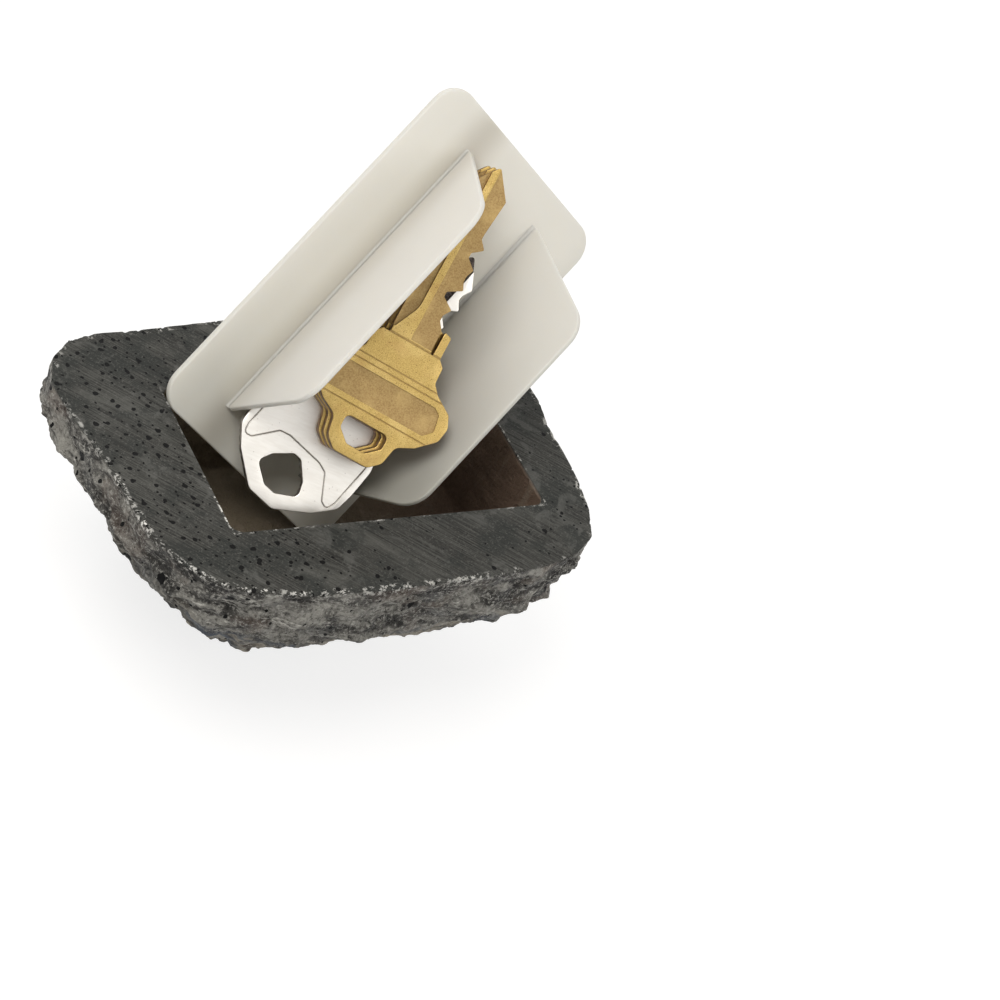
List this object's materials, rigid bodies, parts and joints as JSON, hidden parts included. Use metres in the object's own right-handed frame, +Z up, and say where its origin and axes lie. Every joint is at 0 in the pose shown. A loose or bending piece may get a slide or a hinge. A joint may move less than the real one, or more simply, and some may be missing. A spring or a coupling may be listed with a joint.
{
  "type": "hide-a-key rock",
  "caption": "Hollow artificial rock key hider: cast rock with a pocket in its flat base, and a winged plastic key holder standing in the pocket with house keys in it.",
  "frame": {"origin": "on the crown facet the rock rests on, straight under the middle of the pocket", "axes": "+Z is up, out of the flat base; X runs along the pocket's length, Y along its width"},
  "size_m": [0.0976, 0.0688, 0.1006],
  "materials": {
    "rock": "rough cast resin, mottled",
    "holder": "milky satin",
    "nickel": "nickel plated, satin",
    "brass": "worn satin"
  },
  "bodies": {
    "rock": {"rock_body": "rock"},
    "holder": {"holder_plate": "holder"},
    "upper_wing_body": {"upper_wing": "holder"},
    "lower_wing_body": {"lower_wing": "holder"},
    "nickel_key_body": {"nickel_key": "nickel"},
    "bottom_key_body": {"brass_key_bottom": "brass"},
    "middle_key_body": {"brass_key_middle": "brass"},
    "top_key_body": {"brass_key_top": "brass"}
  },
  "joints": [
    {"name": "holder_lift", "type": "slide", "parent": "rock", "child": "holder", "axis": [0.6544, 0.2864, 0.6999], "range_m": [0, 0.05]},
    {"name": "upper_wing_flex", "type": "hinge", "parent": "holder", "child": "upper_wing_body", "pos_m": [-0.00195, 0.01829, 0.06912], "axis": [-0.6544, -0.2864, -0.6999], "range_deg": [-1.5, 12], "stiffness_Nm_per_rad": 0.6},
    {"name": "lower_wing_flex", "type": "hinge", "parent": "holder", "child": "lower_wing_body", "pos_m": [0.01419, 0.0116, 0.05677], "axis": [0.6544, 0.2864, 0.6999], "range_deg": [-1.5, 12], "stiffness_Nm_per_rad": 0.6},
    {"name": "nickel_key_lift", "type": "slide", "parent": "holder", "child": "nickel_key_body", "axis": [0.2446, -0.6819, 0.6893], "range_m": [0, 0.03]},
    {"name": "bottom_key_lift", "type": "slide", "parent": "nickel_key_body", "child": "bottom_key_body", "axis": [0.2446, -0.6819, 0.6893], "range_m": [0, 0.03]},
    {"name": "middle_key_lift", "type": "slide", "parent": "bottom_key_body", "child": "middle_key_body", "axis": [0.2446, -0.6819, 0.6893], "range_m": [0, 0.03]},
    {"name": "top_key_lift", "type": "slide", "parent": "middle_key_body", "child": "top_key_body", "axis": [0.2446, -0.6819, 0.6893], "range_m": [0, 0.03]}
  ]
}
